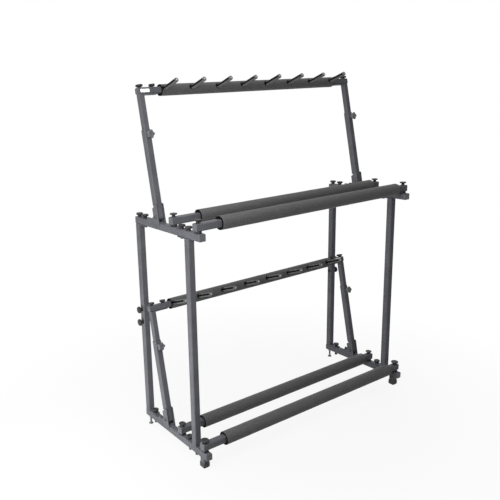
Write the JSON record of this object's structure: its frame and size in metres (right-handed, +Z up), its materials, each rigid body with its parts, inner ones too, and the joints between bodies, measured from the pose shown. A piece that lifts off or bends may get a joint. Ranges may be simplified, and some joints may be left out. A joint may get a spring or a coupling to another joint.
{
  "type": "racket storage rack",
  "caption": "Free-standing storage rack of square steel tube: foam-covered rails on each level, and above them folding telescopic neck bars with foam-covered pegs.",
  "frame": {"origin": "on the floor, under the middle of the rack", "axes": "+X along the rails to the right, -Y to the front, +Z up"},
  "size_m": [1.0826, 0.4064, 1.3422],
  "materials": {
    "powder_coat": "satin dark grey powder coat",
    "foam": "black closed-cell foam sleeve",
    "black_plastic": "moulded black plastic",
    "rubber": "matt black rubber",
    "zinc_steel": "zinc-plated steel"
  },
  "bodies": {
    "frame": {"lower_side_bar_left": "powder_coat", "upper_side_bar_left": "powder_coat", "front_upright_left": "powder_coat", "rear_upright_left": "powder_coat", "front_foot_cap_left": "rubber", "rear_glide_left": "zinc_steel", "lower_side_bar_right": "powder_coat", "upper_side_bar_right": "powder_coat", "front_upright_right": "powder_coat", "rear_upright_right": "powder_coat", "front_foot_cap_right": "rubber", "rear_glide_right": "zinc_steel", "lower_front_rail": "powder_coat", "lower_front_rail_foam": "foam", "lower_front_rail_knob_left": "black_plastic", "lower_front_rail_knob_right": "black_plastic", "lower_rear_rail": "powder_coat", "lower_rear_rail_foam": "foam", "lower_rear_rail_knob_left": "black_plastic", "lower_rear_rail_knob_right": "black_plastic", "lower_bracket_left": "powder_coat", "lower_bracket_right": "powder_coat", "lower_pivot_pin_left": "zinc_steel", "lower_pivot_pin_right": "zinc_steel", "upper_front_rail": "powder_coat", "upper_front_rail_foam": "foam", "upper_front_rail_knob_left": "black_plastic", "upper_front_rail_knob_right": "black_plastic", "upper_rear_rail": "powder_coat", "upper_rear_rail_foam": "foam", "upper_rear_rail_knob_left": "black_plastic", "upper_rear_rail_knob_right": "black_plastic", "upper_bracket_left": "powder_coat", "upper_bracket_right": "powder_coat", "upper_pivot_pin_left": "zinc_steel", "upper_pivot_pin_right": "zinc_steel"},
    "upper_legs": {"upper_outer_leg_left": "powder_coat", "upper_outer_leg_right": "powder_coat"},
    "upper_neck": {"upper_inner_leg_left": "powder_coat", "upper_inner_leg_right": "powder_coat", "upper_neck_bar": "powder_coat", "upper_neck_foam": "foam", "upper_neck_knob_left_outer": "black_plastic", "upper_neck_knob_left_inner": "black_plastic", "upper_neck_knob_right_outer": "black_plastic", "upper_neck_knob_right_inner": "black_plastic"},
    "upper_clamp_left": {"upper_clamp_knob_left": "black_plastic"},
    "upper_clamp_right": {"upper_clamp_knob_right": "black_plastic"},
    "lower_legs": {"lower_outer_leg_left": "powder_coat", "lower_outer_leg_right": "powder_coat"},
    "lower_neck": {"lower_inner_leg_left": "powder_coat", "lower_inner_leg_right": "powder_coat", "lower_neck_bar": "powder_coat", "lower_neck_foam": "foam", "lower_neck_knob_left_outer": "black_plastic", "lower_neck_knob_left_inner": "black_plastic", "lower_neck_knob_right_outer": "black_plastic", "lower_neck_knob_right_inner": "black_plastic"},
    "lower_clamp_left": {"lower_clamp_knob_left": "black_plastic"},
    "lower_clamp_right": {"lower_clamp_knob_right": "black_plastic"}
  },
  "joints": [
    {"name": "upper_fold", "type": "hinge", "parent": "frame", "child": "upper_legs", "pos_m": [0, 0.0534, 0.8704], "axis": [1, 0, 0], "range_deg": [0, 70]},
    {"name": "upper_telescope", "type": "slide", "parent": "upper_legs", "child": "upper_neck", "axis": [0, 0.2002, 0.9798], "range_m": [-0.115, 0.1]},
    {"name": "upper_clamp_turn_left", "type": "hinge", "parent": "upper_legs", "child": "upper_clamp_left", "pos_m": [-0.5123, 0.08588, 1.15669], "axis": [0, -0.9798, 0.2002], "range_deg": [0, 720]},
    {"name": "upper_clamp_turn_right", "type": "hinge", "parent": "upper_legs", "child": "upper_clamp_right", "pos_m": [0.5123, 0.08588, 1.15669], "axis": [0, -0.9798, 0.2002], "range_deg": [0, 720]},
    {"name": "lower_fold", "type": "hinge", "parent": "frame", "child": "lower_legs", "pos_m": [0, 0.0534, 0.0824], "axis": [1, 0, 0], "range_deg": [0, 26]},
    {"name": "lower_telescope", "type": "slide", "parent": "lower_legs", "child": "lower_neck", "axis": [0, 0.2002, 0.9798], "range_m": [-0.1, 0.095]},
    {"name": "lower_clamp_turn_left", "type": "hinge", "parent": "lower_legs", "child": "lower_clamp_left", "pos_m": [-0.5123, 0.08588, 0.36869], "axis": [0, -0.9798, 0.2002], "range_deg": [0, 720]},
    {"name": "lower_clamp_turn_right", "type": "hinge", "parent": "lower_legs", "child": "lower_clamp_right", "pos_m": [0.5123, 0.08588, 0.36869], "axis": [0, -0.9798, 0.2002], "range_deg": [0, 720]}
  ]
}
